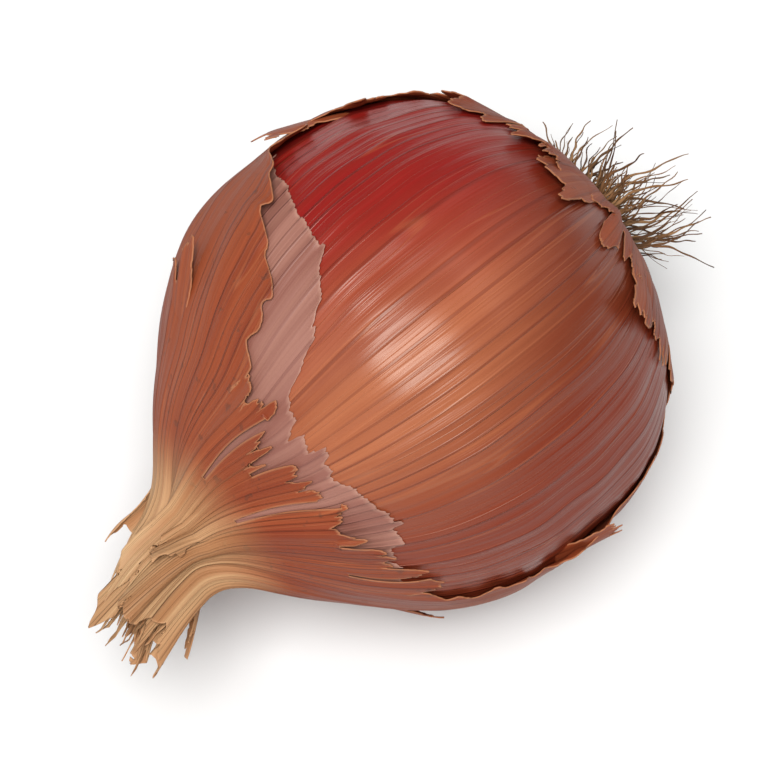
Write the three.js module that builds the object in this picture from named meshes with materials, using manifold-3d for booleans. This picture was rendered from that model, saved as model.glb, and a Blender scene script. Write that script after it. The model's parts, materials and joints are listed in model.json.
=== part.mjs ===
// A round copper-red shallot, dried for keeping, lying on its side.
// Millimetres. +X runs along the bulb to its roots, -X to the dried neck, and +Z is up.
// The origin is the middle of the small flat spot that the bulb rests on.

import * as THREE from "three";
import { mergeVertices } from "three/addons/utils/BufferGeometryUtils.js";
import Module from "manifold-3d";

// Globe and neck
const BULB_RADIUS = 21;
const ROOT_REACH = 19.5;
const NECK_REACH = 25;
const ROOT_FULLNESS = 2.3;
const NECK_FULLNESS = 2.6;
const ROOT_TAPER = 0.5;
const NECK_TAPER = 1.25;
const NECK_RADIUS = 2.9;
const NECK_LENGTH = 8.5;
const NECK_FLATTENING = 0.2;
const NECK_TWIST = 1.2;
const NECK_BEND_Y = -3.4;
const NECK_BEND_Z = -1.8;
const REST_FLAT = 0.6;
const AXIS_HEIGHT = BULB_RADIUS - REST_FLAT;

// Dry neck end: a ragged rim round a shallow cup
const RIM_WALL = 0.9;
const CUP_DEPTH = 3;
const TONGUE_LENGTH = 3;
const PLEATS = 6;
const PLEAT_DEPTH = 0.75;
const PLEAT_DRIFT = 0.6;

// Waves that keep the girth from being a true circle: how many round the bulb, share of the radius,
// where they start, and how far they turn per millimetre along the axis
const OFF_ROUND = [
  { waves: 2, share: 0.014, start: 0.9, turn: 0.03 },
  { waves: 3, share: 0.012, start: -0.5, turn: -0.04 },
  { waves: 5, share: 0.006, start: 2.1, turn: 0 },
];

// Skin relief: raised veins, and a window torn in the outer skin that shows the layer under it
const VEINS = 32;
const VEIN_HEIGHT = 0.22;
const VEIN_DRIFT = 0.05;
const SKIN_STEP = 0.45;
const TEAR_WAVE = 1.2;
const TEAR_RIPPLES = [
  { pace: 3.1, share: 0.5, start: 0.7 },
  { pace: 7.3, share: 0.3, start: 0 },
  { pace: 13.7, share: 0.25, start: 1.9 },
];

// The window in millimetres along the axis and angles from the top. Its upper side slants back toward the
// neck, and its neck end is bowed.
const WINDOW_ROOT_END = 13.5;
const WINDOW_NECK_END = -18.7;
const WINDOW_BOW = 6;
const WINDOW_BOW_MIDDLE = THREE.MathUtils.degToRad(-16);
const WINDOW_BOW_REACH = THREE.MathUtils.degToRad(80);
const WINDOW_FROM = THREE.MathUtils.degToRad(-95);
const WINDOW_TO_AT_NECK = THREE.MathUtils.degToRad(8);
const WINDOW_TO_AT_ROOT = THREE.MathUtils.degToRad(48);
const WINDOW_SLANT_START = -16;
const WINDOW_SLANT_END = 3;
const WINDOW_SLAB = 4;

// Mesh fineness
const COLUMNS = 3 * VEINS;
const ROWS = 30;
const FLANK_STEPS = 240;
const WINDOW_COLUMNS = 22;
const WINDOW_ROWS = 16;

// Loose flakes of outer skin: angle from the top and distance along the axis of the attached end,
// length (negative runs to the neck), half width and height of the free end.
const FLAKE_WALL = 0.7;
const FLAKE_ROOT = 0.8;
const FLAKE_TEAR = 0.32;
const FLAKE_NARROWING = 0.25;
const FLAKE_CUPPING = 0.4;
const FLAKES = [
  { angle: -8, along: 17, length: -7, half: 3.2, lift: 1.5 },
  { angle: -47, along: 16, length: -6, half: 2.4, lift: 1.9 },
  { angle: 53, along: 6, length: -8, half: 2.2, lift: 1.4 },
  { angle: 52, along: -17, length: 6.5, half: 2.6, lift: 1.3 },
  { angle: -99, along: -3, length: 7, half: 2.3, lift: 1.5 },
  { angle: 104, along: -13, length: 7, half: 2.8, lift: 1.6 },
  { angle: 82, along: 15.5, length: -6, half: 2.6, lift: 1.7 },
  { angle: -130, along: -16, length: 6, half: 2.2, lift: 1.2 },
  { angle: -35, along: -22, length: -8, half: 1.5, lift: 2.2 },
  { angle: 75, along: -22.5, length: -7, half: 1.4, lift: 2.6 },
  { angle: 190, along: -22, length: -8.5, half: 1.4, lift: 1.8 },
];

// Root plate and dried roots
const RECESS_RADIUS = 4.8;
const RECESS_FLOOR = 17.9;
const LIP_RADIUS = 5.9;
const TOUCH_GAP = 0.3;
const PLATE_RADIUS = 4.3;
const PLATE_THICKNESS = 1.5;
const PLATE_CROWN = 0.5;
const ROOTLETS = 26;
const ROOTLET_SPREAD = THREE.MathUtils.degToRad(68);
const ROOTLET_SHORTEST = 3.5;
const ROOTLET_LONGEST = 9.5;
const ROOTLET_BASE = 0.55;
const ROOTLET_TIP = 0.28;
const ROOTLET_SUNK = 0.5;
const ROOTLET_TURN = Math.PI * (3 - Math.sqrt(5));
const ROOTLET_SEED = 20260;

const wasm = await Module();
wasm.setup();

const { smoothstep, clamp, lerp, degToRad } = THREE.MathUtils;

// Radius of the plain outline at a distance along the axis: a globe that runs into the neck.
function girth(along) {
  if (along > 0) return BULB_RADIUS * (1 - Math.min(along / ROOT_REACH, 1) ** ROOT_FULLNESS) ** ROOT_TAPER;
  const globe = (1 - Math.min(-along / NECK_REACH, 1) ** NECK_FULLNESS) ** NECK_TAPER;
  return NECK_RADIUS + (BULB_RADIUS - NECK_RADIUS) * globe;
}

// 0 on the globe, 1 where the neck is free of it.
function neckShare(along) {
  return smoothstep(-along, 0.66 * NECK_REACH, 1.05 * NECK_REACH);
}

// Uneven wave of about one, used for torn edges.
function ragged(turn) {
  return TEAR_RIPPLES.reduce((sum, { pace, share, start }) => sum + share * Math.sin(pace * turn + start), 0);
}

// Height of the grown surface over the plain outline: not quite round, and pleated at the neck.
function relief(along, angle) {
  const radius = girth(along);
  const neck = neckShare(along);
  const offRound = ({ waves, share, start, turn }) => share * Math.cos(waves * angle + start + turn * along);
  const round = OFF_ROUND.reduce((sum, wave) => sum + offRound(wave), 0);
  const pleat = PLEAT_DEPTH * Math.cos(PLEATS * angle + PLEAT_DRIFT * Math.sin(2 * angle));
  return round * radius * (1 - neck) * clearOfRoot(along) + pleat * neck;
}

// 0 in the root recess and at its lip, 1 from twice that radius outward.
function clearOfRoot(along) {
  return along > 0 ? smoothstep(girth(along), LIP_RADIUS, 2 * LIP_RADIUS) : 1;
}

// Point of the shallot, raised by a height. The radius is scaled by the relief, then the neck is flattened,
// twisted and bent, its end is torn into tongues, and the rest spot is pressed flat at the floor.
function place(along, radius, angle, height = 0, floor = -AXIS_HEIGHT) {
  const plain = Math.max(girth(along), LIP_RADIUS / 2);
  const scaled = radius * (1 + (relief(along, angle) + height) / plain);
  const neck = neckShare(along);
  const end = clamp((-along - NECK_REACH) / NECK_LENGTH, 0, 1);
  const turned = angle + NECK_TWIST * neck * (0.4 + 0.6 * end);
  const wide = scaled * (1 + NECK_FLATTENING * neck);
  const thin = scaled * (1 - NECK_FLATTENING * neck);
  const bend = neck * (0.2 + 0.8 * end ** 1.5);
  const torn = (1 + ragged(angle + 0.4)) / 2;
  const tongue = TONGUE_LENGTH * torn * end ** 3 * Math.min(radius / NECK_RADIUS, 1);
  const y = wide * Math.sin(turned) + NECK_BEND_Y * bend;
  const z = thin * Math.cos(turned) + NECK_BEND_Z * bend;
  return new THREE.Vector3(along - tongue, y, Math.max(z, floor));
}

// Closed geometry with shared corners, without the triangles that shrink to a line at a pole.
function welded(geometry) {
  const bare = new THREE.BufferGeometry();
  bare.setAttribute("position", geometry.getAttribute("position").clone());
  bare.setIndex(geometry.getIndex().clone());
  const merged = mergeVertices(bare, 1e-4);
  const corners = merged.getIndex().array;
  const kept = [];
  for (let i = 0; i < corners.length; i += 3) {
    const [a, b, c] = corners.slice(i, i + 3);
    if (a !== b && b !== c && c !== a) kept.push(a, b, c);
  }
  merged.setIndex(kept);
  return merged;
}

// Moves every corner of a geometry by a rule from its old place to its new one.
function reshape(geometry, rule) {
  const places = geometry.getAttribute("position");
  const corner = new THREE.Vector3();
  for (let i = 0; i < places.count; i += 1) {
    corner.fromBufferAttribute(places, i);
    const moved = rule(corner);
    places.setXYZ(i, moved.x, moved.y, moved.z);
  }
  return geometry;
}

// Solid for joining. Faces are turned outward if the rule has turned them in.
function solid(geometry) {
  const triVerts = new Uint32Array(geometry.getIndex().array);
  const vertProperties = new Float32Array(geometry.getAttribute("position").array);
  if (signedVolume(vertProperties, triVerts) < 0) {
    for (let i = 0; i < triVerts.length; i += 3) {
      [triVerts[i], triVerts[i + 1]] = [triVerts[i + 1], triVerts[i]];
    }
  }
  return new wasm.Manifold(new wasm.Mesh({ numProp: 3, vertProperties, triVerts }));
}

function signedVolume(places, corners) {
  const point = (i) => new THREE.Vector3().fromArray(places, 3 * corners[i]);
  let six = 0;
  for (let i = 0; i < corners.length; i += 3) {
    six += point(i).dot(point(i + 1).cross(point(i + 2)));
  }
  return six / 6;
}

// Geometry of the one body that the joins leave: sealed pockets are filled and loose scraps dropped.
function fromSolid(joined) {
  const body = joined.decompose().reduce((best, each) => (each.volume() > best.volume() ? each : best));
  const mesh = body.getMesh();
  const geometry = new THREE.BufferGeometry();
  geometry.setAttribute("position", new THREE.BufferAttribute(mesh.vertProperties, 3));
  geometry.setIndex(new THREE.BufferAttribute(mesh.triVerts, 1));
  geometry.computeVertexNormals();
  return geometry;
}

// Evenly spaced stretch of the plain outline between two distances along the axis, roots first.
function flank(from, to, rows) {
  const curve = [new THREE.Vector2(girth(from), from)];
  for (let i = 1; i <= FLANK_STEPS; i += 1) {
    const turn = (Math.PI * i) / FLANK_STEPS;
    const along = Math.cos(turn) * (turn < Math.PI / 2 ? ROOT_REACH : -to);
    if (along < from) curve.push(new THREE.Vector2(girth(along), along));
  }
  return new THREE.SplineCurve(curve).getSpacedPoints(rows);
}

// Whole outline: from the middle of the root recess, over the globe and neck, into the cup at the end.
function outerOutline() {
  const lip = ROOT_REACH * (1 - (LIP_RADIUS / BULB_RADIUS) ** (1 / ROOT_TAPER)) ** (1 / ROOT_FULLNESS);
  const tip = -NECK_REACH - NECK_LENGTH;
  const inner = NECK_RADIUS - RIM_WALL;
  return [
    new THREE.Vector2(0, RECESS_FLOOR),
    new THREE.Vector2(RECESS_RADIUS / 2, RECESS_FLOOR),
    new THREE.Vector2(RECESS_RADIUS, RECESS_FLOOR),
    ...flank(lip, tip, ROWS),
    new THREE.Vector2(inner, tip),
    new THREE.Vector2(inner * 0.8, tip + CUP_DEPTH / 2),
    new THREE.Vector2(0, tip + CUP_DEPTH),
  ];
}

// Outline of the layer under the outer skin, closed inside the bulb past both ends of the torn window.
function innerOutline() {
  const rootSide = WINDOW_ROOT_END + 2 * TEAR_WAVE;
  const neckSide = WINDOW_NECK_END - 2 * TEAR_WAVE;
  return [
    new THREE.Vector2(0, rootSide),
    ...flank(rootSide, neckSide, Math.round(ROWS * 0.75)),
    new THREE.Vector2(0, neckSide),
  ];
}

// Outline turned round the axis. Every third column is the crest of a vein, and the columns drift a
// little from even spacing, as veins do.
function revolve(outlinePoints, height, floor) {
  const lathe = welded(new THREE.LatheGeometry(outlinePoints, COLUMNS));
  return reshape(lathe, (p) => {
    const column = Math.atan2(p.x, p.z);
    const angle = column + VEIN_DRIFT * (Math.sin(3 * column) + 0.6 * Math.sin(5 * column + 1));
    const crest = Math.max(Math.cos(VEINS * column), 0) * VEIN_HEIGHT * (1 - neckShare(p.y));
    return place(p.y, Math.hypot(p.x, p.z), angle, (crest + height) * clearOfRoot(p.y), floor);
  });
}

// Angle of the window's upper side at a distance along the axis.
function windowTo(along) {
  return lerp(WINDOW_TO_AT_NECK, WINDOW_TO_AT_ROOT, smoothstep(along, WINDOW_SLANT_START, WINDOW_SLANT_END));
}

// Distance along the axis of the window's neck end at an angle.
function windowNeckEnd(angle) {
  return WINDOW_NECK_END + WINDOW_BOW * ((angle - WINDOW_BOW_MIDDLE) / WINDOW_BOW_REACH) ** 2;
}

// Slab with ragged sides that takes the outer skin off the window.
function windowCutter() {
  const slab = welded(new THREE.BoxGeometry(1, 1, WINDOW_SLAB, WINDOW_ROWS, WINDOW_COLUMNS, 1));
  return reshape(slab, (p) => {
    const upper = windowTo(lerp(WINDOW_NECK_END, WINDOW_ROOT_END, p.x + 0.5));
    const angle = lerp(WINDOW_FROM, upper, p.y + 0.5);
    const along = lerp(windowNeckEnd(angle), WINDOW_ROOT_END, p.x + 0.5);
    const side = Math.abs(2 * p.y) ** 6 * TEAR_WAVE * ragged(0.35 * along + Math.sign(p.y));
    const end = Math.abs(2 * p.x) ** 6 * TEAR_WAVE * ragged(2.6 * angle + 2 * Math.sign(p.x));
    return place(along + end, girth(along + end) + p.z, angle + side / girth(along));
  });
}

// A flake is a thin plate that starts inside the skin and bends up to a torn free end.
function flake({ angle, along, length, half, lift }) {
  const plate = welded(new THREE.BoxGeometry(1, 2, FLAKE_WALL, 4, 4, 1));
  return reshape(plate, (p) => {
    const share = p.x + 0.5;
    const torn = 1 + FLAKE_TEAR * share * ragged(2 * p.y + angle);
    const at = along + length * share * torn;
    const width = half * (1 - FLAKE_NARROWING * share ** 2);
    const rise = lerp(-FLAKE_ROOT, lift, share ** 1.3) - FLAKE_CUPPING * lift * share * p.y ** 2;
    const plain = girth(at);
    const turn = degToRad(angle) + (p.y * width) / Math.max(plain, NECK_RADIUS + lift);
    return place(at, plain + rise + p.z, turn);
  });
}

function bulb() {
  const outer = solid(revolve(outerOutline(), 0));
  const inner = solid(revolve(innerOutline(), -SKIN_STEP, -AXIS_HEIGHT + REST_FLAT));
  const skin = outer.subtract(solid(windowCutter())).add(inner);
  const body = FLAKES.reduce((sum, each) => sum.add(solid(flake(each))), skin);
  const material = new THREE.MeshStandardMaterial({ color: 0xb0674c, roughness: 0.42, metalness: 0 });
  const mesh = new THREE.Mesh(fromSolid(body), material);
  mesh.name = "bulb";
  mesh.position.z = AXIS_HEIGHT;
  return mesh;
}

// Repeatable random numbers from 0 to 1.
function seededRandom(seed) {
  let state = seed;
  return () => {
    state = (Math.imul(state, 1664525) + 1013904223) >>> 0;
    return state / 2 ** 32;
  };
}

// Corky disc that the roots grow from, crowned on its outer face. Its axis is turned from Y to X.
function rootPlate() {
  const profile = [
    new THREE.Vector2(0, 0),
    new THREE.Vector2(0.92 * PLATE_RADIUS, 0),
    new THREE.Vector2(PLATE_RADIUS, 0.35 * PLATE_THICKNESS),
    new THREE.Vector2(0.93 * PLATE_RADIUS, 0.85 * PLATE_THICKNESS),
    new THREE.Vector2(0.6 * PLATE_RADIUS, PLATE_THICKNESS + 0.6 * PLATE_CROWN),
    new THREE.Vector2(0, PLATE_THICKNESS + PLATE_CROWN),
  ];
  const disc = welded(new THREE.LatheGeometry(profile, 24));
  return disc.rotateZ(-Math.PI / 2);
}

// One dried root: a tapered three-sided shoot that leans out from the axis and curls back at its end.
function rootlet(random, index) {
  const spot = (index + 0.5) / ROOTLETS;
  const out = 0.84 * PLATE_RADIUS * Math.sqrt(spot);
  const around = index * ROOTLET_TURN + 0.5 * (random() - 0.5);
  const lean = ROOTLET_SPREAD * spot ** 0.7 * lerp(0.75, 1, random());
  const length = lerp(ROOTLET_SHORTEST, ROOTLET_LONGEST, random() ** 1.4);
  const curl = lerp(-0.6, 0.3, random()) * length;
  const sway = lerp(-0.45, 0.45, random()) * length;
  const shoot = welded(new THREE.CylinderGeometry(ROOTLET_TIP, ROOTLET_BASE, length, 3, 4));
  shoot.translate(0, length / 2, 0);
  reshape(shoot, (p) => {
    const share = p.y / length;
    return new THREE.Vector3(p.x + curl * share ** 2, p.y, p.z + sway * share ** 2);
  });
  shoot.rotateZ(-lean);
  shoot.rotateY(-around);
  shoot.rotateZ(-Math.PI / 2);
  const base = PLATE_THICKNESS - ROOTLET_SUNK;
  return shoot.translate(base, -out * Math.cos(around), out * Math.sin(around));
}

function rootTuft() {
  const random = seededRandom(ROOTLET_SEED);
  let body = solid(rootPlate());
  for (let i = 0; i < ROOTLETS; i += 1) body = body.add(solid(rootlet(random, i)));
  const material = new THREE.MeshStandardMaterial({ color: 0x5b4630, roughness: 0.9, metalness: 0 });
  const mesh = new THREE.Mesh(fromSolid(body), material);
  mesh.name = "root_tuft";
  mesh.position.set(RECESS_FLOOR + TOUCH_GAP, 0, AXIS_HEIGHT);
  return mesh;
}

const shallot = new THREE.Group();
shallot.name = "shallot";
shallot.add(bulb(), rootTuft());

export default shallot;
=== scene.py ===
# %% [markdown]
# # A round shallot
# The object is one dried bulb with copper-red papery skin. It lies on its side, with a pleated paper neck at
# one end and a small tuft of dried roots at the other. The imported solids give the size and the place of
# everything, so the lesson loads them first and grows every piece round the same axis.

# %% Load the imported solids
import json
import math
import bpy
import numpy as np
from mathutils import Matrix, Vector

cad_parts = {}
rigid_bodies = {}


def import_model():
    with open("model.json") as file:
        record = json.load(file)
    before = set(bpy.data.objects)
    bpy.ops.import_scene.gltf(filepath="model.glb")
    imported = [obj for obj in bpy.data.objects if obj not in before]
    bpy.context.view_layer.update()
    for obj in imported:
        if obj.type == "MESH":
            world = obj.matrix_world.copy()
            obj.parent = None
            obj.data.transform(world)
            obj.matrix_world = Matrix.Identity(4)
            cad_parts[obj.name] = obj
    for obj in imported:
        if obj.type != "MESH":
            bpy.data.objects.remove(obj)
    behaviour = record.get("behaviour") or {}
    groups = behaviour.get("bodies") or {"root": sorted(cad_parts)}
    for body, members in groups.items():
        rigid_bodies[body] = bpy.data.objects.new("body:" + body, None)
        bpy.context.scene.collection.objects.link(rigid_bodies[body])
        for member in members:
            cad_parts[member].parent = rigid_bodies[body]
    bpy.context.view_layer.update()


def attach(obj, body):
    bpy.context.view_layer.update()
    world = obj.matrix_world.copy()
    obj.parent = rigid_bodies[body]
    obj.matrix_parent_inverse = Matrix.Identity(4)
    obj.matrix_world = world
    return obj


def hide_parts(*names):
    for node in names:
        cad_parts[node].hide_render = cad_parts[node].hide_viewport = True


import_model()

MM = 0.001

# %% [markdown]
# ## One shape for every layer
# A bulb is a stack of skins, so all its layers share one outline. It could be drawn as a curve, but a
# formula lets each skin ask for any point by three numbers: how far along the axis, at which angle round it,
# and how high over the plain outline. The sizes are those of the solids.

# %% Outline of the bulb
BULB_RADIUS = 21 * MM
ROOT_REACH = 19.5 * MM
ROOT_FULLNESS = 2.3
NECK_REACH = 25 * MM
NECK_FULLNESS = 2.6
NECK_TAPER = 1.25
NECK_SOFTNESS = 1.8 * MM
NECK_RADIUS = 2.9 * MM
NECK_LENGTH = 8.5 * MM
AXIS_HEIGHT = 20.4 * MM
LIP_RADIUS = 5.9 * MM
TIP = -NECK_REACH - NECK_LENGTH


def smooth(value, low, high):
    """0 below low, 1 above high, and an S-curve between."""
    share = np.clip((value - low) / (high - low), 0, 1)
    return share * share * (3 - 2 * share)


def girth(along):
    """Radius of the plain outline: a globe that runs into the neck, with a soft bend between them."""
    root = BULB_RADIUS * (1 - np.clip(along / ROOT_REACH, 0, 1) ** ROOT_FULLNESS) ** 0.5
    spread = NECK_SOFTNESS * smooth(-along, 0.6 * NECK_REACH, 0.9 * NECK_REACH)
    shifted = [np.clip(-(along + k * spread) / NECK_REACH, 0, 1) for k in np.linspace(-1, 1, 7)]
    neck = sum((1 - share ** NECK_FULLNESS) ** NECK_TAPER for share in shifted) / len(shifted)
    return np.where(along > 0, root, NECK_RADIUS + (BULB_RADIUS - NECK_RADIUS) * neck)


def root_end(radius):
    """Where along the axis the outline has closed in to this radius at its root end."""
    return ROOT_REACH * (1 - (radius / BULB_RADIUS) ** 2) ** (1 / ROOT_FULLNESS)


def neck_share(along):
    """0 on the globe, 1 where the neck is free of it."""
    return smooth(-along, 0.66 * NECK_REACH, 1.05 * NECK_REACH)


def clear_of_root(along):
    """0 in the root recess and at its lip, 1 from twice that radius outward."""
    return np.where(along > 0, smooth(girth(along), LIP_RADIUS, 2 * LIP_RADIUS), 1)


print("girth at the middle and at the neck, mm:", [float(np.round(girth(x) / MM, 2)) for x in (0.0, TIP)])

# %% [markdown]
# ## The grown surface
# No bulb is round. Slow waves bend the girth, the neck is drawn into pleats, twisted, flattened and bent,
# and veins run from roots to neck. Numbers that look random come from sums of waves with a seed, so that
# each run gives the same bulb.

# %% Uneven numbers
def ragged(turn, fine=0.25):
    """Uneven wave of about one, used for torn edges."""
    return 0.5 * np.sin(3.1 * turn + 0.7) + 0.3 * np.sin(7.3 * turn) + fine * np.sin(13.7 * turn + 1.9)


def drifting(points, size, seed):
    """Smooth noise of about one over points, with features of about that size."""
    rng = np.random.default_rng(seed)
    total = np.zeros(len(points))
    waves = 18
    for _ in range(waves):
        direction = rng.normal(size=3)
        direction /= np.linalg.norm(direction)
        pace = 2 * math.pi / size * rng.uniform(0.6, 1.6)
        total += np.sin(points @ direction * pace + rng.uniform(0, 2 * math.pi))
    return total * math.sqrt(2 / waves)


# %% Waves, veins and pleats, with heights in millimetres
OFF_ROUND = [(2, 0.014, 0.9, 0.03), (3, 0.012, -0.5, -0.04), (5, 0.006, 2.1, 0)]  # count, size, start, drift
VEINS = 32
VEIN_DRIFT = 0.05
VEIN_HEIGHT = 0.11
FINE_VEINS = 3 * VEINS
FINE_VEIN_HEIGHT = 0.035
DENTS = [(0.12, 0.9, 11), (0.05, 0.35, 12)]  # height, size, seed
PLEATS = 6
PLEAT_WAVES = [(PLEATS, 0.75, 0.6, 2), (17, 0.15, 1.3, 3), (31, 0.04, 0, 0)]  # count, height, swing, swings


def vein_place(along, angle):
    """Place on the skin that runs on across the seam: two numbers round the axis and one along it."""
    return np.column_stack([np.cos(angle), np.sin(angle), along / BULB_RADIUS])


def vein_angle(angle):
    """Veins aren't evenly spaced round the bulb."""
    return angle - VEIN_DRIFT * (np.sin(3 * angle) + 0.6 * np.sin(5 * angle + 1))


def relief(along, angle):
    """Height of the grown surface over the plain outline."""
    neck = neck_share(along)
    skin = vein_place(along, angle)
    off_round = sum(size * np.cos(count * angle + start + drift * along / MM)
                    for count, size, start, drift in OFF_ROUND)
    pleats = sum(height * np.cos(count * angle + swing * np.sin(swings * angle))
                 for count, height, swing, swings in PLEAT_WAVES)
    crest = np.maximum(np.cos(VEINS * vein_angle(angle)), 0) ** 2 * VEIN_HEIGHT
    crest += FINE_VEIN_HEIGHT * np.cos(FINE_VEINS * vein_angle(angle) + 2 * drifting(skin, 1.3, 3))
    dents = sum(height * drifting(skin, size, seed) for height, size, seed in DENTS)
    body = (1 - neck) * clear_of_root(along)
    return off_round * girth(along) * body + (crest + dents) * MM * body + pleats * MM * neck


print("veins:", VEINS, "with a pleated neck of", PLEATS, "folds")

# %% The rule that places a point
NECK_TWIST = 1.2
NECK_FLATTENING = 0.2
NECK_BEND = (-3.4 * MM, -1.8 * MM)
TONGUE_LENGTH = 3 * MM


def place(along, radius, angle, height=0.0, floor=0.0):
    """Points of the shallot in the shared frame."""
    plain = np.maximum(girth(along), LIP_RADIUS / 2)
    scaled = radius * (1 + (relief(along, angle) + height) / plain)
    neck = neck_share(along)
    end = np.clip((-along - NECK_REACH) / NECK_LENGTH, 0, 1)
    turned = angle + NECK_TWIST * neck * (0.4 + 0.6 * end)
    bend = neck * (0.2 + 0.8 * end ** 1.5)
    torn = (1 + ragged(angle + 0.4)) / 2
    tongue = TONGUE_LENGTH * torn * end ** 3 * np.minimum(radius / NECK_RADIUS, 1)
    y = scaled * (1 + NECK_FLATTENING * neck) * np.sin(turned) + NECK_BEND[0] * bend
    z = scaled * (1 - NECK_FLATTENING * neck) * np.cos(turned) + NECK_BEND[1] * bend
    return np.column_stack([along - tongue, y, np.maximum(z + AXIS_HEIGHT, floor)])


print("top, mm:", np.round(place(np.zeros(1), np.array([BULB_RADIUS]), np.zeros(1)) / MM, 2))

# %% [markdown]
# ## Helpers for working by hand
# Edit mode acts on everything that is selected, so each step starts with nothing selected. Corners are read
# and moved as one array, which is how a sculpting stroke is written down in code.

# %% Helpers that select and edit
def alone(piece):
    """Object mode, with only this piece selected and active."""
    if bpy.context.object and bpy.context.object.mode != "OBJECT":
        bpy.ops.object.mode_set(mode="OBJECT")
    bpy.ops.object.select_all(action="DESELECT")
    if piece:
        bpy.context.view_layer.objects.active = piece
        piece.select_set(True)


def edit(piece, step, on_all=False, **choices):
    """Runs one edit-mode operator on what is selected in the piece, or on all of it."""
    alone(piece)
    bpy.ops.object.mode_set(mode="EDIT")
    if on_all:
        bpy.ops.mesh.select_all(action="SELECT")
    step(**choices)
    bpy.ops.object.mode_set(mode="OBJECT")


def pick(piece, kind, flags):
    """Selects the flagged faces or edges and nothing else."""
    alone(piece)
    bpy.ops.object.mode_set(mode="EDIT")
    bpy.ops.mesh.select_mode(type=kind)
    bpy.ops.mesh.select_all(action="DESELECT")
    bpy.ops.object.mode_set(mode="OBJECT")
    parts = piece.data.polygons if kind == "FACE" else piece.data.edges
    parts.foreach_set("select", flags)


def named(name):
    """The piece that was just added, under its own name, with its place in its mesh."""
    piece = bpy.context.object
    piece.name = name
    piece.data.name = name
    bpy.ops.object.transform_apply(location=True, rotation=True, scale=True)
    return piece


# %% Helpers that read and move corners
def corners(piece):
    """Places of all corners as rows of three."""
    flat = np.empty(3 * len(piece.data.vertices))
    piece.data.vertices.foreach_get("co", flat)
    return flat.reshape(-1, 3)


def move_corners(piece, places):
    piece.data.vertices.foreach_set("co", np.asarray(places, np.float32).ravel())
    piece.data.update()


def note(piece, **notes):
    """Keeps a number or a vector for every corner under each name, which a material can read."""
    for name, values in notes.items():
        wide = np.ndim(values) > 1
        layer = piece.data.attributes.new(name, "FLOAT_VECTOR" if wide else "FLOAT", "POINT")
        layer.data.foreach_set("vector" if wide else "value", np.asarray(values, np.float32).ravel())


def per_face(piece, values, choice):
    """Lowest, highest or any of each face's corner values, as the numpy choice says."""
    loops, starts = np.empty(len(piece.data.loops), int), np.empty(len(piece.data.polygons), int)
    piece.data.loops.foreach_get("vertex_index", loops)
    piece.data.polygons.foreach_get("loop_start", starts)
    return choice.reduceat(values[loops], starts)


# %% Helpers that trim, close and thicken a sheet
def trim(piece, inside):
    """Deletes every face that has no corner inside."""
    pick(piece, "FACE", ~per_face(piece, inside, np.logical_or))
    edit(piece, bpy.ops.mesh.delete, type="FACE")


def drop_scraps(piece, kept):
    """Deletes all that the tear has cut loose from the part that holds the corner at this place."""
    nearest = np.argmin(np.linalg.norm(corners(piece) - kept, axis=1))
    pick(piece, "FACE", per_face(piece, np.arange(len(piece.data.vertices)) == nearest, np.logical_or))
    edit(piece, bpy.ops.mesh.select_linked)
    edit(piece, bpy.ops.mesh.select_all, action="INVERT")
    edit(piece, bpy.ops.mesh.delete, type="VERT")


def weld(piece):
    """Merges corners that lie on each other, such as those of a rolled seam."""
    edit(piece, bpy.ops.mesh.remove_doubles, on_all=True, threshold=0.01 * MM)


def face_outward(piece):
    """Turns all faces over if most of them look at the bulb's axis."""
    faces = piece.data.polygons
    normals, centres = np.empty(3 * len(faces)), np.empty(3 * len(faces))
    faces.foreach_get("normal", normals)
    faces.foreach_get("center", centres)
    away = centres.reshape(-1, 3) - (0, 0, AXIS_HEIGHT)
    away[:, 0] = 0
    if np.sum(normals.reshape(-1, 3) * away) < 0:
        edit(piece, bpy.ops.mesh.flip_normals, on_all=True)


def thicken(piece, wall, inside_slot):
    """Gives a sheet its wall, inward, and applies it. The inside may have its own material."""
    alone(piece)
    shell = piece.modifiers.new("wall", "SOLIDIFY")
    shell.thickness = wall
    shell.offset = -1
    shell.material_offset = inside_slot
    bpy.ops.object.modifier_apply(modifier=shell.name)


def soften(piece):
    """Smooth shading, as grown skin has no facets."""
    alone(piece)
    bpy.ops.object.shade_smooth()


def triangles(*pieces):
    return sum(len(face.vertices) - 2 for piece in pieces for face in piece.data.polygons)


# %% [markdown]
# ## The glossy layer
# Where the outer skin has torn, the next layer shows: smooth, tight and glossy. It is one closed body that
# also fills the inside of the neck. A ball has its poles where the roots and the neck are, so a fine ball is
# added and each of its corners is moved to where the outline has it.

# %% Glossy layer, grown from a ball
STEP = 0.32 * MM
CORE_END = -27 * MM
RECESS_RADIUS = 4.8 * MM
RECESS_FLOOR = 17.9 * MM


def measured(line, share):
    """Points at shares of the length of a line given as rows of radius and distance along the axis."""
    steps = np.hypot(*np.diff(line, axis=0).T)
    length = np.concatenate([[0], np.cumsum(steps)])
    return [np.interp(share * length[-1], length, line[:, k]) for k in (0, 1)]


def flank(start, end):
    """The plain outline between two distances along the axis, closely stepped."""
    along = np.cos(np.linspace(0, math.pi, 600))
    along = np.where(along > 0, along * ROOT_REACH, -along * end)
    along = np.concatenate([[start], along[along < start]])
    return np.column_stack([girth(along), along])


def ball(name, segments, rings, radius):
    """A new ball with its poles on the bulb's axis, and its corners' places in shares of its radius."""
    alone(None)
    bpy.ops.mesh.primitive_uv_sphere_add(
        segments=segments, ring_count=rings, radius=radius, rotation=(0, math.pi / 2, 0))
    piece = named(name)
    return piece, corners(piece) / radius


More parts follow.
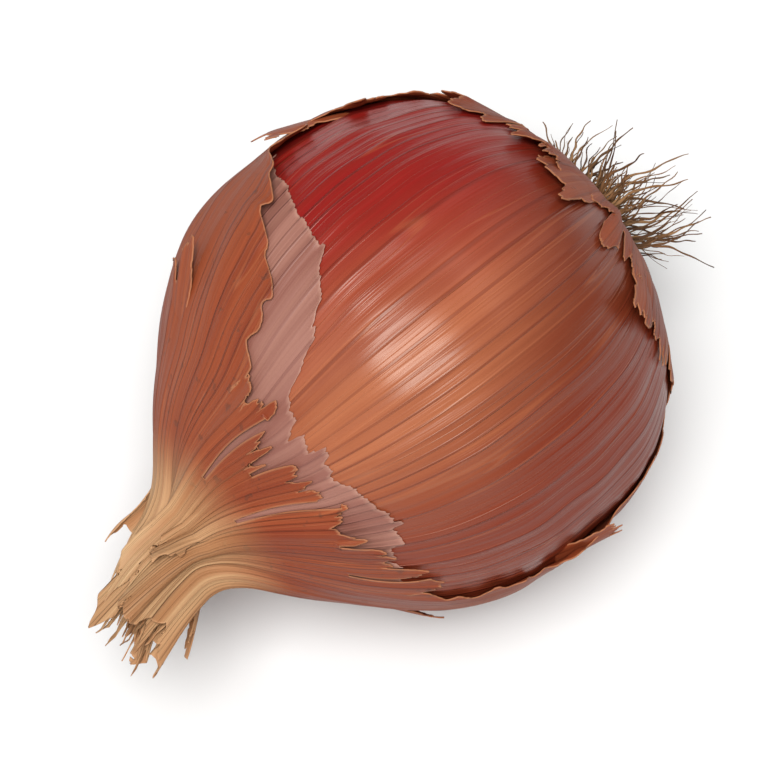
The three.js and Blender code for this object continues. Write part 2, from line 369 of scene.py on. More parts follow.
def bulb_layer():
    recess = [(0, RECESS_FLOOR), (RECESS_RADIUS, RECESS_FLOOR)]
    line = np.vstack([recess, flank(root_end(LIP_RADIUS), CORE_END), [(0, CORE_END)]])
    piece, at = ball("glossy_skin", 384, 200, BULB_RADIUS)
    radius, along = measured(line, np.arccos(np.clip(at[:, 0], -1, 1)) / math.pi)
    angle = np.arctan2(at[:, 1], at[:, 2])
    note(piece, vein_place=vein_place(along, angle))
    move_corners(piece, place(along, radius, angle, -STEP * clear_of_root(along), STEP))
    soften(piece)
    return piece


glossy_skin = bulb_layer()
print("glossy skin:", triangles(glossy_skin), "triangles")

# %% [markdown]
# ## Torn edges
# Dry skin tears along its veins and breaks across them in uneven steps and small pointed tongues, so the
# torn line is built from strips of uneven width and length. A sheet is laid out on a plain tube, its faces
# near the tear are made smaller, the corners past the line are slid back onto it, and the faces beyond it
# are deleted. A boolean cut could do this too, but it would leave long thin faces in a skin this fine.

# %% Steps and tongues of a torn line
TURN = 2 * math.pi


def strips(share, widths):
    """Which strip of these widths each share of the way falls in, and how far along that strip it is."""
    ends = np.cumsum(widths) / widths.sum()
    cell = np.minimum(np.searchsorted(ends, share, side="right"), len(widths) - 1)
    start = np.concatenate([[0], ends])[cell]
    return cell, (share - start) / (ends[cell] - start)


def stepped(place_on_line, period, count, jump, wall, seed):
    """Offset of a torn line: strips of uneven width and height, with a wall between each two."""
    rng = np.random.default_rng(seed)
    widths = rng.gamma(1.3, size=count) + 0.12
    heights, slopes = rng.laplace(0, jump, count), rng.normal(0, 0.7 * jump, count)
    for k in range(1, count):
        heights[k] += 0.55 * heights[k - 1]
    cell, within = strips(place_on_line / period % 1, widths)
    following = (cell + 1) % count
    level = heights[cell] + slopes[cell] * (within - 0.5)
    ramp = smooth(within, 1 - wall, 1)
    return level * (1 - ramp) + (heights[following] - 0.5 * slopes[following]) * ramp


def tongues(angle, count, shortest, longest, seed, bluntness=1.1):
    """Millimetres that torn tongues stay short of the furthest line: each narrows to a tip of its own."""
    rng = np.random.default_rng(seed)
    cell, within = strips(angle / TURN % 1, rng.gamma(2, size=count) + 1)
    tip = rng.uniform(0.15, 0.85, count)[cell]
    away = np.where(within < tip, (tip - within) / tip, (within - tip) / (1 - tip))
    short = longest * rng.gamma(1.2, 0.16, count)[cell]
    return short + rng.uniform(shortest, longest, count)[cell] * away ** bluntness


def fray(place_on_line, size, seed):
    """Fine unevenness of a torn line."""
    return drifting(place_on_line[:, None] * (1, 0, 0) / size, 1, seed)


# %% The window's outline and the splits that run out of it
WINDOW_ROOT_END = 13.5 * MM
WINDOW_NECK_END = -18.7 * MM
WINDOW_BOW = 6 * MM
WINDOW_FROM = math.radians(-95)
WINDOW_TO_AT_NECK = math.radians(8)
WINDOW_TO_AT_ROOT = math.radians(48)
TEAR_WAVE = 1.2
NARROWEST_SPLIT = 0.12
NOT_SPLIT = -99.0
NECK_SPLITS = [(-82, 4.5, 0.35), (-61, 2.2, 0.3), (-43, 5.5, 0.42), (-24, 2.4, 0.3), (-9, 4.6, 0.38)]
ROOT_SPLITS = [(-70, 1.8, 0.3), (-33, 3.2, 0.42), (3, 2.1, 0.3), (21, 3.6, 0.34)]


def window_to(along):
    """Angle of the window's upper side, which slants back toward the neck."""
    return WINDOW_TO_AT_NECK + (WINDOW_TO_AT_ROOT - WINDOW_TO_AT_NECK) * smooth(along, -16 * MM, 3 * MM)


def window_neck_end(angle):
    """Where along the axis the window's bowed neck end is."""
    return WINDOW_NECK_END + WINDOW_BOW * ((angle + math.radians(16)) / math.radians(80)) ** 2


def splits(along, angle, spots, away):
    """Millimetres inside narrow splits that run from the window into the skin along a vein. Each spot is
    its angle in degrees, and its length and half its mouth in millimetres."""
    deepest = np.full(len(along), NOT_SPLIT)
    for at, length, mouth in spots:
        end = WINDOW_ROOT_END if away > 0 else window_neck_end(math.radians(at))
        into = (along - end) / MM * away + 1.5
        half = mouth * np.clip(1 - into / (length + 1.5), 0, 1) ** 0.7
        off = (angle - math.radians(at) - 0.02 * np.sin(0.9 * along / MM)) * girth(along) / MM
        inside = (into > 0) & (half > NARROWEST_SPLIT)
        deepest = np.maximum(deepest, np.where(inside, half - np.abs(off), NOT_SPLIT))
    return deepest


def window_depth(along, angle):
    """Millimetres inside the window; negative where the outer skin is left."""
    crosswise = 0.05 * fray(angle * BULB_RADIUS, 0.3 * MM, 5)
    lengthwise = 0.035 * fray(along, 0.5 * MM, 6)
    on_side, on_end = along / MM + 30, 2.6 * angle
    to_side = (window_to(along) - angle) * girth(along) / MM + TEAR_WAVE * ragged(0.35 * along / MM + 1, 0.03)
    to_side += stepped(on_side, 60, 17, 0.4, 0.3, 7) + lengthwise
    from_side = (angle - WINDOW_FROM) * girth(along) / MM - TEAR_WAVE * ragged(0.35 * along / MM - 1, 0.03)
    from_side += stepped(on_side, 60, 15, 0.4, 0.3, 8) + lengthwise
    to_roots = (WINDOW_ROOT_END - along) / MM + TEAR_WAVE * ragged(on_end + 2)
    to_roots += stepped(angle, TURN, 110, 0.22, 0.3, 9) + crosswise
    to_roots += tongues(angle, 46, 0.3, 1.7, 61) + tongues(angle, 170, 0.05, 0.4, 62) - 1.3
    to_neck = (along - window_neck_end(angle)) / MM - TEAR_WAVE * ragged(on_end - 2)
    to_neck += stepped(angle, TURN, 130, 0.22, 0.3, 10) + crosswise
    to_neck += tongues(angle, 50, 0.3, 2.0, 63) + tongues(angle, 190, 0.05, 0.45, 64) - 1.5
    opened = np.minimum.reduce([to_side, from_side, to_roots, to_neck])
    split = [splits(along, angle, NECK_SPLITS, -1), splits(along, angle, ROOT_SPLITS, 1)]
    return np.maximum.reduce([opened, *split])


print("splits:", len(NECK_SPLITS), "toward the neck and", len(ROOT_SPLITS), "toward the roots")

# %% Sheets that are laid out, made finer at the tear and slid onto it
MARGIN = 0.03
STRIDE = 0.08
SLIDES = 4
PROBE = 0.02


def laid_out(piece, rolled):
    """Where along the axis and at which angle each corner of a laid-out sheet is."""
    flat = corners(piece)
    return flat[:, 0], np.arctan2(flat[:, 1], flat[:, 2]) if rolled else flat[:, 1] / BULB_RADIUS


def slopes_of(depth, along, angle):
    """Depth, and how fast it grows per millimetre along the axis, round it, and at its steepest."""
    here = depth(along, angle)
    per_along = (depth(along + PROBE * MM, angle) - here) / PROBE
    per_round = (depth(along, angle + PROBE * MM / girth(along)) - here) / PROBE
    return here, per_along, per_round, np.hypot(per_along, per_round) + 1e-3


def slid(piece, depth, band, cuts, rolled):
    """Divides the faces that the torn line crosses or comes close to, and slides corners past it back onto
    it. Gives each corner's place along and round, its depth, and whether it is inside, so that it stayed."""
    here = depth(*laid_out(piece, rolled))
    lowest, highest = per_face(piece, here, np.minimum), per_face(piece, here, np.maximum)
    pick(piece, "FACE", (lowest < band) & (highest > -band))
    edit(piece, bpy.ops.mesh.subdivide, number_cuts=cuts)
    along, angle = laid_out(piece, rolled)
    here, _, _, steepness = slopes_of(depth, along, angle)
    inside = here < -MARGIN * steepness
    for _ in range(SLIDES):
        here, per_along, per_round, steepness = slopes_of(depth, along, angle)
        move = np.where(inside, 0, -np.clip(here / steepness, -STRIDE, STRIDE) / steepness)
        along = along + move * per_along * MM
        angle = angle + move * per_round * MM / girth(along)
    return along, angle, np.where(inside, depth(along, angle), 0), inside


def sheet(name, grid, along_at, angles, depth, band, cuts, rolled=False):
    """A grid on a plain tube round the axis (rolled and closed) or beside it (flat), slid onto its tear."""
    alone(None)
    bpy.ops.mesh.primitive_grid_add(x_subdivisions=grid[0], y_subdivisions=grid[1], size=1)
    piece = named(name)
    flat = corners(piece)
    along = along_at(flat[:, 0] + 0.5)
    angle = angles[0] + (flat[:, 1] + 0.5) * (angles[1] - angles[0])
    if rolled:
        sides = BULB_RADIUS * np.sin(angle), BULB_RADIUS * np.cos(angle)
        move_corners(piece, np.column_stack([along, *sides]))
        weld(piece)
    else:
        move_corners(piece, np.column_stack([along, BULB_RADIUS * angle, 0 * along]))
    return piece, *slid(piece, depth, band, cuts, rolled)


def torn_off(piece, places, depth, inside, wall, inside_slot=0):
    """Puts a sheet in its place, deletes what lies past the tear, and gives it its wall."""
    move_corners(piece, places)
    trim(piece, inside)
    weld(piece)
    drop_scraps(piece, places[np.argmin(depth)])
    face_outward(piece)
    thicken(piece, wall, inside_slot)
    soften(piece)
    return piece


# %% [markdown]
# ## The outer skin
# The outermost skin is dull, crisp and a tenth of a millimetre thick. It wraps the whole bulb except the
# torn window and ends in the ragged paper of the neck. Its edge has dried and curls up a little, more in some
# places than others, which is what lets light catch it.

# %% Outer skin with its torn window and ragged neck
SKIN_WALL = 0.09 * MM
CURL = 0.75 * MM
CURL_REACH = 1.6
BLISTER = 0.16 * MM
LONGEST_TONGUE = 7
WHOLE_TURN = (-math.pi, math.pi)


def neck_depth(along, angle, further=0.0, seed=21):
    """Millimetres past the ragged end of a neck paper that reaches further than the tip."""
    drifted = angle + 0.04 * np.sin(1.9 * along / MM + seed)
    short = tongues(drifted, 10, 2.5, 5.5, seed, 0.9) + tongues(drifted, 29, 0.2, 0.7, seed + 1) + 0.15
    return (TIP - along) / MM - further + np.minimum(short, LONGEST_TONGUE)


def outer_depth(along, angle):
    return np.maximum(window_depth(along, angle), neck_depth(along, angle))


def splayed(along, angle, count, seed):
    """Strips at the end of the neck bend outward or inward, each by its own amount."""
    bend = np.clip(stepped(angle, TURN, count, 0.45, 0.3, seed), -1.2, 1.4)
    return bend * smooth(-along, -TIP - 6 * MM, -TIP + MM) ** 1.5 * MM


def outer_skin_layer():
    outline = flank(root_end(0.86 * LIP_RADIUS), TIP)
    piece, along, angle, depth, inside = sheet(
        "outer_skin", (140, 264), lambda share: measured(outline, share)[1], WHOLE_TURN, outer_depth, 0.2, 3,
        rolled=True)
    skin, neck = vein_place(along, angle), neck_share(along)
    loose = smooth(drifting(skin, 0.7, 31), -0.5, 1.5)
    curl = CURL * np.exp(np.minimum(depth, 0) / CURL_REACH) * (0.12 + 1.3 * loose) * (1 - neck)
    blister = BLISTER * np.maximum(drifting(skin * (1, 1, 0.35), 0.28, 33), 0) ** 1.5
    lift = curl + blister * clear_of_root(along) * (1 - neck)
    note(piece, vein_place=skin, to_edge=-depth, neck=neck)
    places = place(along, girth(along) + splayed(along, angle, 15, 23) * neck, angle, lift)
    return torn_off(piece, places, depth, inside, SKIN_WALL, 1)


outer_skin = outer_skin_layer()
print("outer skin:", triangles(outer_skin), "triangles")

# %% [markdown]
# ## The pale layer
# Round the neck side of the window a very thin layer is left between the two: dry, greyish purple, and sharp
# edged. Its paleness is partly the layer's own colour and partly a painted reflection. It is a second sheet
# with its own tear.

# %% Pale layer on the neck side of the window
PALE_WALL = 0.05 * MM
PALE_GAP = 0.11 * MM
PALE_CURL = 0.1 * MM
PALE_ANGLES = [-95, -80, -55, -27, -8, -3, 2, 13, 34, 50]
PALE_EDGE = [-13.5, -14.4, -14.3, -15.7, -14.6, -12, -9.5, -6, -3.6, -2]


def pale_depth(along, angle):
    """Millimetres past the inner edge of the pale layer."""
    edge = np.interp(np.degrees(angle), PALE_ANGLES, PALE_EDGE)
    steps = stepped(angle, TURN, 90, 0.35, 0.25, 11) + 0.05 * fray(angle * BULB_RADIUS, 0.4 * MM, 12)
    return along / MM - edge + steps


def pale_skin_layer():
    start, end = WINDOW_NECK_END - 6 * MM, 3 * MM
    reach = (WINDOW_FROM - 0.2, WINDOW_TO_AT_ROOT + 0.2)
    piece, along, angle, depth, inside = sheet(
        "pale_skin", (80, 140), lambda share: start + share * (end - start), reach, pale_depth, 0.2, 3)
    skin = vein_place(along, angle)
    note(piece, vein_place=skin, to_edge=-depth)
    lift = PALE_CURL * np.exp(np.minimum(depth, 0) / 0.8) * smooth(drifting(skin, 0.5, 41), 0, 1)
    places = place(along, girth(along), angle, lift + PALE_GAP - STEP)
    return torn_off(piece, places, depth, inside, PALE_WALL)


pale_skin = pale_skin_layer()
print("pale skin:", triangles(pale_skin), "triangles")

# %% [markdown]
# ## Flakes
# Here and there a scrap of the outer skin has let go at one end and stands up. Each is a small sheet that is
# attached at one end, cupped across its width and torn at the free end. They stand where the solids have
# theirs.

# %% Loose flakes of outer skin, with angles in degrees and sizes in millimetres
FLAKE_WALL = 0.1 * MM
FLAKE_SUNK = 0.22
FLAKES = [  # angle, place along the axis, length, half its width, lift
    (-8, 17, -7, 3.2, 1.5), (-47, 16, -6, 2.4, 1.9), (53, 6, -8, 2.2, 1.4), (52, -17, 6.5, 2.6, 1.3),
    (-99, -3, 7, 2.3, 1.5), (104, -13, 7, 2.8, 1.6), (82, 15.5, -6, 2.6, 1.7), (-130, -16, 6, 2.2, 1.2),
    (-35, -22, -8, 1.5, 2.2), (75, -22.5, -7, 1.4, 2.6), (190, -22, -8.5, 1.4, 1.8)]


def flake(number, at_angle, at_along, long, half, lift):
    root, length, middle = at_along * MM, long * MM, math.radians(at_angle)
    wide = float(np.maximum(girth(root + 0.5 * length), NECK_RADIUS + 0.7 * lift * MM))
    turned = half * MM / wide

    def shares(along, angle):
        """How far along the flake from its root, and how far off its middle."""
        return (along - root) / length, (angle - middle) * wide / (half * MM)

    def depth(along, angle):
        share, off = shares(along, angle)
        end = (share - 0.8) * abs(long) + stepped(off + 3, 6, 44, 0.6, 0.2, 100 + number)
        narrowing = 0.86 - 0.4 * np.clip(share, 0, 1) ** 2
        side = (np.abs(off) - narrowing) * half
        side += stepped(share + 3 + np.sign(off), 6, 60, 0.12, 0.5, 120 + number)
        return np.maximum(end, side) + 0.03 * fray(angle * wide + along, 0.7 * MM, 140 + number)

    piece, along, angle, past, inside = sheet(
        f"flake_{number + 1}", (26, 24), lambda share: root + share * length,
        (middle - turned, middle + turned), depth, 0.15, 2)
    share, off = shares(along, angle)
    share = np.clip(share, 0, 1)
    skin = vein_place(along, angle)
    cupped = 0.45 * lift * share * off ** 2 + 0.5 * (1 - share) ** 3 * off ** 2
    rise = (lift + FLAKE_SUNK + 0.2) * share ** 1.2 - FLAKE_SUNK - cupped
    rise += 0.16 * drifting(skin, 0.25, 200 + number) * share
    note(piece, vein_place=skin, to_edge=-past, neck=neck_share(along))
    places = place(along, girth(along), angle, np.maximum(rise, -2 * FLAKE_SUNK) * MM)
    return torn_off(piece, places, past, inside, FLAKE_WALL, 1)


flakes = [flake(number, *row) for number, row in enumerate(FLAKES)]
print("flakes:", len(flakes), "with", triangles(*flakes), "triangles")

# %% [markdown]
# ## Papers inside the neck
# The neck is what is left of the leaves: several papers rolled into each other. Three narrower ones stand
# inside the outer skin's end and stick out of it by different lengths. Their pleats are turned by whole
# pleats, so that they nest in each other.

# %% Inner papers of the neck
PLEAT_TURN = TURN / PLEATS
PAPER_START = -23 * MM
PAPERS = [  # width beside the outline, millimetres past the tip, seed, pleats turned
    (0.72, 0.8, 51, 1), (0.46, 1.6, 53, 2), (0.22, 2.2, 55, 4)]


def neck_paper(number, narrow, further, seed, pleats):
    end = TIP - further * MM

    def depth(along, angle):
        return neck_depth(along, angle, further, seed)

    piece, along, angle, past, inside = sheet(
        f"neck_paper_{number + 1}", (40, 120), lambda share: PAPER_START + share * (end - PAPER_START),
        WHOLE_TURN, depth, 0.15, 2, rolled=True)
    note(piece, vein_place=vein_place(along, angle + seed), to_edge=-past, neck=np.ones(len(along)))
    radius = girth(along) * narrow + splayed(along, angle, 9, seed + 20)
    places = place(along, radius, angle + pleats * PLEAT_TURN)
    return torn_off(piece, places, past, inside, SKIN_WALL, 1)


papers = [neck_paper(number, *row) for number, row in enumerate(PAPERS)]
print("neck papers:", [triangles(piece) for piece in papers], "triangles")

# %% [markdown]
# ## Root plate
# The roots grow from a corky disc at the bottom of the bulb. It is a flattened ball with a rough, ringed
# face.

# %% Root plate
PLATE_RADIUS = 4.3 * MM
PLATE_THICKNESS = 1.5 * MM
PLATE_CROWN = 0.5 * MM
TOUCH_GAP = 0.3 * MM
PLATE_BACK = RECESS_FLOOR + TOUCH_GAP
KNOBS = [(0.14, 0.35, 61), (0.09, 0.14, 62)]
PLATE_RINGS, RING_HEIGHT = 14, 0.1


def root_plate_piece():
    piece, at = ball("root_plate", 128, 72, 1)
    out = np.hypot(at[:, 1], at[:, 2])
    turn = np.arctan2(at[:, 1], at[:, 2])
    square = np.sign(at[:, 0]) * np.abs(at[:, 0]) ** 0.6
    face = smooth(at[:, 0], -0.2, 0.4)
    depth = PLATE_THICKNESS / 2 * (1 + square) + PLATE_CROWN * face * (1 - out ** 2)
    flat = at * (0, 1, 1)
    rough = sum(height * drifting(flat, size, seed) for height, size, seed in KNOBS)
    rough += RING_HEIGHT * np.sin(PLATE_RINGS * out + 0.8 * drifting(flat, 0.8, 63))
    depth += rough * MM * face
    wide = PLATE_RADIUS * (0.97 + 0.03 * np.sin(5 * turn) - 0.012 * np.sin(13 * turn))
    move_corners(piece, np.column_stack([PLATE_BACK + depth, wide * at[:, 1], AXIS_HEIGHT + wide * at[:, 2]]))
    soften(piece)
    return piece


root_plate = root_plate_piece()
print("root plate:", triangles(root_plate), "triangles")

# %% [markdown]
# ## Dried roots
# The roots are wiry threads that lean out from the disc and curl. One thread is modelled as a thin rod with
# many rings, and each root is a copy of it with its own mesh, bent along its own path. Each solid root
# becomes seven finer ones that keep near its path, so that the tuft fills the same space.

# %% Where the solid roots run
ROOTLETS = 26
ROOTLET_SPREAD = math.radians(68)
ROOTLET_SEED = 20260
GOLDEN_ANGLE = math.pi * (3 - math.sqrt(5))


def seeded_random(seed):
    """Repeatable random numbers from 0 to 1, the same as the solids use."""
    state = seed
    while True:
        state = (state * 1664525 + 1013904223) % 2 ** 32
        yield state / 2 ** 32


def solid_roots():
    """For each solid root: where it starts, its three directions, its length, curl and sway."""
    random = seeded_random(ROOTLET_SEED)
    for index in range(ROOTLETS):
        spot = (index + 0.5) / ROOTLETS
        out = 0.84 * PLATE_RADIUS * math.sqrt(spot)
        around = index * GOLDEN_ANGLE + 0.5 * (next(random) - 0.5)
        lean = ROOTLET_SPREAD * spot ** 0.7 * (0.75 + 0.25 * next(random))
        length = (3.5 + 6 * next(random) ** 1.4) * MM
        curl = (-0.6 + 0.9 * next(random)) * length
        sway = (-0.45 + 0.9 * next(random)) * length
        outward = np.array([0, -math.cos(around), math.sin(around)])
        axis = np.array([1.0, 0, 0])
        start = axis * (PLATE_BACK + PLATE_THICKNESS - 0.5 * MM) + outward * out + (0, 0, AXIS_HEIGHT)
        ahead = axis * math.cos(lean) + outward * math.sin(lean)
        up = outward * math.cos(lean) - axis * math.sin(lean)
        aside = np.array([0, math.sin(around), math.cos(around)])
        yield start, ahead, up, aside, length, curl, sway


print("solid roots:", len(list(solid_roots())))

# %% One rod, copied and bent for each root
THREADS_EACH = 7
RINGS = 24
WAVER = 0.15 * MM
THINNEST, THICKEST = 0.07 * MM, 0.19 * MM


def rod():
    """A straight rod of unit radius and length with many rings, standing on the origin."""
    alone(None)
    bpy.ops.mesh.primitive_cylinder_add(vertices=6, radius=1, depth=1, location=(0, 0, 0.5))
    piece = named("root_rod")
    heights = corners(piece)[np.array([edge.vertices[:] for edge in piece.data.edges]), 2]
    pick(piece, "EDGE", np.ptp(heights, axis=1) > 0.5)
    edit(piece, bpy.ops.mesh.subdivide, number_cuts=RINGS - 1)
    return piece


def root_path(start, ahead, up, aside, length, curl, sway, stretch, wiggle):
    """A function that gives points along one root, which curls, sways and wavers."""
    def path(share):
        share = np.asarray(share)[:, None] * stretch
        wave = WAVER * np.minimum(share * 4, 1)
        lean = curl * share ** 2 + wave * np.sin(9 * share + wiggle[0])
        turn = sway * share ** 2 + wave * np.sin(13 * share + wiggle[1])
        lean = lean + 0.4 * wave * np.sin(27 * share + wiggle[2])
        turn = turn + 0.4 * wave * np.sin(23 * share + wiggle[3])
        return start + ahead * length * share + up * lean + aside * turn
    return path


def bent_copy(pattern, path, thickness, number):
    """A copy of the rod, bent along a path of points, tapering to its tip."""
    copy = pattern.copy()
    copy.data = pattern.data.copy()
    copy.name = f"root_{number}"
    bpy.context.scene.collection.objects.link(copy)
    at = corners(copy)
    share = np.clip(at[:, 2], 0, 1)
    ahead = path(share + 0.01) - path(share - 0.01)
    ahead /= np.linalg.norm(ahead, axis=1)[:, None]
    side = np.cross(ahead, (0.3, 0.5, 0.81))
    side /= np.linalg.norm(side, axis=1)[:, None]
    other = np.cross(ahead, side)
    wide = thickness * (1 - 0.75 * share ** 1.2) * (1 + 0.2 * np.sin(29 * share + number))
    note(copy, share=share)
    move_corners(copy, path(share) + side * (at[:, 0] * wide)[:, None] + other * (at[:, 1] * wide)[:, None])
    return copy


def dried_roots_piece():
    pattern = rod()
    rng = np.random.default_rng(71)
    made = []
    for start, ahead, up, aside, length, curl, sway in solid_roots():
        for strand in range(THREADS_EACH):
            stretch = rng.uniform(0.4, 1.02) if strand else 1.0
            more_curl, more_sway = rng.normal(0, 0.16, 2) * length
            wiggle = rng.uniform(0, TURN, 4)
            shift = rng.normal(0, 0.42 * MM, 3) * (0, 1, 1)
            path = root_path(start + shift, ahead, up, aside, length, curl + more_curl, sway + more_sway,
                             stretch, wiggle)
            made.append(bent_copy(pattern, path, rng.uniform(THINNEST, THICKEST), len(made)))
            note(made[-1], shade=np.full(len(made[-1].data.vertices), rng.uniform()))
    bpy.data.objects.remove(pattern)
    alone(made[0])
    for each in made:
        each.select_set(True)
    bpy.ops.object.join()
    piece = named("dried_roots")
    soften(piece)
    return piece, len(made)


dried_roots, root_count = dried_roots_piece()
print("roots:", root_count, "with", triangles(dried_roots), "triangles")

# %% [markdown]
# ## Materials
# Dry onion skin is never one colour. Fine veins run along it, broader streaks of red and orange follow them,
# and thin places look paler. These effects are needed on every skin, so each is a node group with its own
# inputs, and each material sets them differently.

# %% Helpers that build nodes
def node(tree, kind, inputs=None, **settings):
    """Adds a node, sets its choices, and sets or links its inputs."""
    made = tree.nodes.new(kind)
    for key, value in settings.items():
        setattr(made, key, value)
    for key, value in (inputs or {}).items():
        if isinstance(value, bpy.types.NodeSocket):
            tree.links.new(value, made.inputs[key])
        else:
            made.inputs[key].default_value = value
    return made


def maths(tree, how, first, second=0.0):
    """One step of arithmetic."""
    return node(tree, "ShaderNodeMath", {0: first, 1: second}, operation=how).outputs[0]


def times(tree, value, share):
    return maths(tree, "MULTIPLY", value, share)


def ranged(tree, value, low, high, to_low=0.0, to_high=1.0):
    """Stretches a number from one range to another, smoothly and held at the ends."""
    made = node(tree, "ShaderNodeMapRange", {"Value": value, 1: low, 2: high, 3: to_low, 4: to_high},
                interpolation_type="SMOOTHSTEP")
    return made.outputs[0]


def colour(value):
    """A colour's socket as it is, or its red, green and blue with full cover."""
    return value if isinstance(value, bpy.types.NodeSocket) else (*value, 1)


def blend(tree, factor, low, high):
    """Mixes two colours."""
    made = node(tree, "ShaderNodeMix", {0: factor, 6: colour(low), 7: colour(high)}, data_type="RGBA")
    return made.outputs[2]


def layered(tree, base, *layers):
    """Lays colours over a base in turn. Each layer is where it shows, how strongly, and its colour."""
    for where, strength, over in layers:
        base = blend(tree, times(tree, where, strength), base, over)
    return base


def new_group(name, inputs, outputs):
    """An empty node group with named sockets."""
    tree = bpy.data.node_groups.new(name, "ShaderNodeTree")
    for label, value in inputs.items():
        kind = "NodeSocketVector" if value is None else "NodeSocketFloat"
        socket = tree.interface.new_socket(name=label, in_out="INPUT", socket_type=kind)
        if value is not None:
            socket.default_value = value
    for label in outputs:
        tree.interface.new_socket(name=label, in_out="OUTPUT", socket_type="NodeSocketFloat")
    return tree, node(tree, "NodeGroupInput").outputs, node(tree, "NodeGroupOutput").inputs


# %% Node group for veins
def vein_group():
    tree, given, out = new_group(
        "skin veins", {"Place": None, "Fineness": 34.0, "Stretch": 0.05, "Round": float(FINE_VEINS)},
        ["Veins", "Streaks", "Threads", "Grain"])
    sides = node(tree, "ShaderNodeSeparateXYZ", {0: given["Place"]}).outputs
    drawn = node(tree, "ShaderNodeCombineXYZ", {0: 1.0, 1: 1.0, 2: given["Stretch"]}).outputs[0]
    pulled = node(tree, "ShaderNodeVectorMath", {0: given["Place"], 1: drawn}, operation="MULTIPLY")

    def noise(share, detail):
        scale = times(tree, given["Fineness"], share)
        made = node(tree, "ShaderNodeTexNoise",
                    {"Vector": pulled.outputs[0], "Scale": scale, "Detail": detail, "Roughness": 0.58})
        return made.outputs[0]

    def off_middle(share, detail):
        return maths(tree, "SUBTRACT", noise(share, detail), 0.5)

    def wave(angle, count, shift, share):
        """A sine of so many waves round the bulb."""
        inner = maths(tree, "ADD", times(tree, angle, count), shift)
        return times(tree, maths(tree, "SINE", inner), share)

    angle = maths(tree, "ARCTAN2", sides[1], sides[0])
    uneven = maths(tree, "ADD", wave(angle, 3.0, 0.0, VEIN_DRIFT), wave(angle, 5.0, 1.0, 0.6 * VEIN_DRIFT))
    turn = times(tree, maths(tree, "SUBTRACT", angle, uneven), given["Round"])
    wander = times(tree, off_middle(0.07, 1.0), 9.0)
    ridge = maths(tree, "COSINE", maths(tree, "ADD", turn, wander))
    strength = ranged(tree, noise(0.3, 2.0), 0.36, 0.62)
    thread = maths(tree, "ABSOLUTE", off_middle(0.45, 0.0))
    tree.links.new(times(tree, ranged(tree, ridge, 0.72, 1.0), strength), out["Veins"])
    tree.links.new(ranged(tree, noise(0.2, 2.0), 0.32, 0.68), out["Streaks"])
    tree.links.new(ranged(tree, thread, 0.0, 0.02, 1.0, 0.0), out["Threads"])
    tree.links.new(ranged(tree, noise(1.6, 2.0), 0.3, 0.7), out["Grain"])
    return tree


VEIN_GROUP = vein_group()
print(VEIN_GROUP.name, "has", len(VEIN_GROUP.nodes), "nodes")


# %% Node group for slow changes of tone and small specks
def mottle_group():
    tree, given, out = new_group("mottling", {"Place": None, "Size": 120.0}, ["Tone", "Specks"])
    slow = node(tree, "ShaderNodeTexNoise",
                {"Vector": given["Place"], "Scale": given["Size"], "Detail": 3.0, "Roughness": 0.55})
    fine_scale = times(tree, given["Size"], 14.0)
    fine = node(tree, "ShaderNodeTexNoise", {"Vector": given["Place"], "Scale": fine_scale, "Detail": 2.0})
    tree.links.new(ranged(tree, slow.outputs[0], 0.32, 0.68), out["Tone"])
    tree.links.new(ranged(tree, fine.outputs[0], 0.64, 0.74), out["Specks"])
    return tree


MOTTLE_GROUP = mottle_group()
print(MOTTLE_GROUP.name, "has", len(MOTTLE_GROUP.nodes), "nodes")


# %% What every finish is made of
def new_material(name, shader_values):
    """A material with nothing but its shader, and constants on the shader's own sockets."""
    material = bpy.data.materials.new(name)
    material.use_nodes = True
    tree = material.node_tree
    tree.nodes.clear()
    shader = node(tree, "ShaderNodeBsdfPrincipled", shader_values)
    node(tree, "ShaderNodeOutputMaterial", {"Surface": shader.outputs[0]})
    return material, tree, shader


def attribute(tree, name, output="Fac"):
    """Numbers or places that a piece carries."""
    return node(tree, "ShaderNodeAttribute", attribute_name=name).outputs[output]


def masks(tree, group, place, **values):
    """The outputs of a node group by their names, with its inputs set."""
    return dict(node(tree, "ShaderNodeGroup", {"Place": place, **values}, node_tree=group).outputs.items())


def vein_masks(tree, fineness, stretch, rounds=FINE_VEINS):
    """Masks of veins, streaks, threads and grain, which follow the skin's own place."""
    skin = attribute(tree, "vein_place", "Vector")
    return masks(tree, VEIN_GROUP, skin, Fineness=fineness, Stretch=stretch, Round=float(rounds))


def finish(name, paint, size, veins, roughness, depth, heights, **shader_values):
    """A material. Paint gives its colour, its roughness follows the tone, and masks add up to its bump."""
    values = {key.replace("_", " "): value for key, value in shader_values.items()}
    material, tree, shader = new_material(name, values)
    mask = masks(tree, MOTTLE_GROUP, node(tree, "ShaderNodeTexCoord").outputs["Object"], Size=size)
    if veins:
        mask.update(vein_masks(tree, *veins))
    tree.links.new(paint(tree, mask), shader.inputs["Base Color"])
    tree.links.new(ranged(tree, mask["Tone"], 0, 1, *roughness), shader.inputs["Roughness"])
    height = 0.0
    for key, share in heights.items():
        height = maths(tree, "ADD", height, times(tree, mask[key], share))
    bump = node(tree, "ShaderNodeBump", {"Height": height, "Distance": depth, "Strength": 1.0})
    tree.links.new(bump.outputs[0], shader.inputs["Normal"])
    print("finish:", name)
    return material


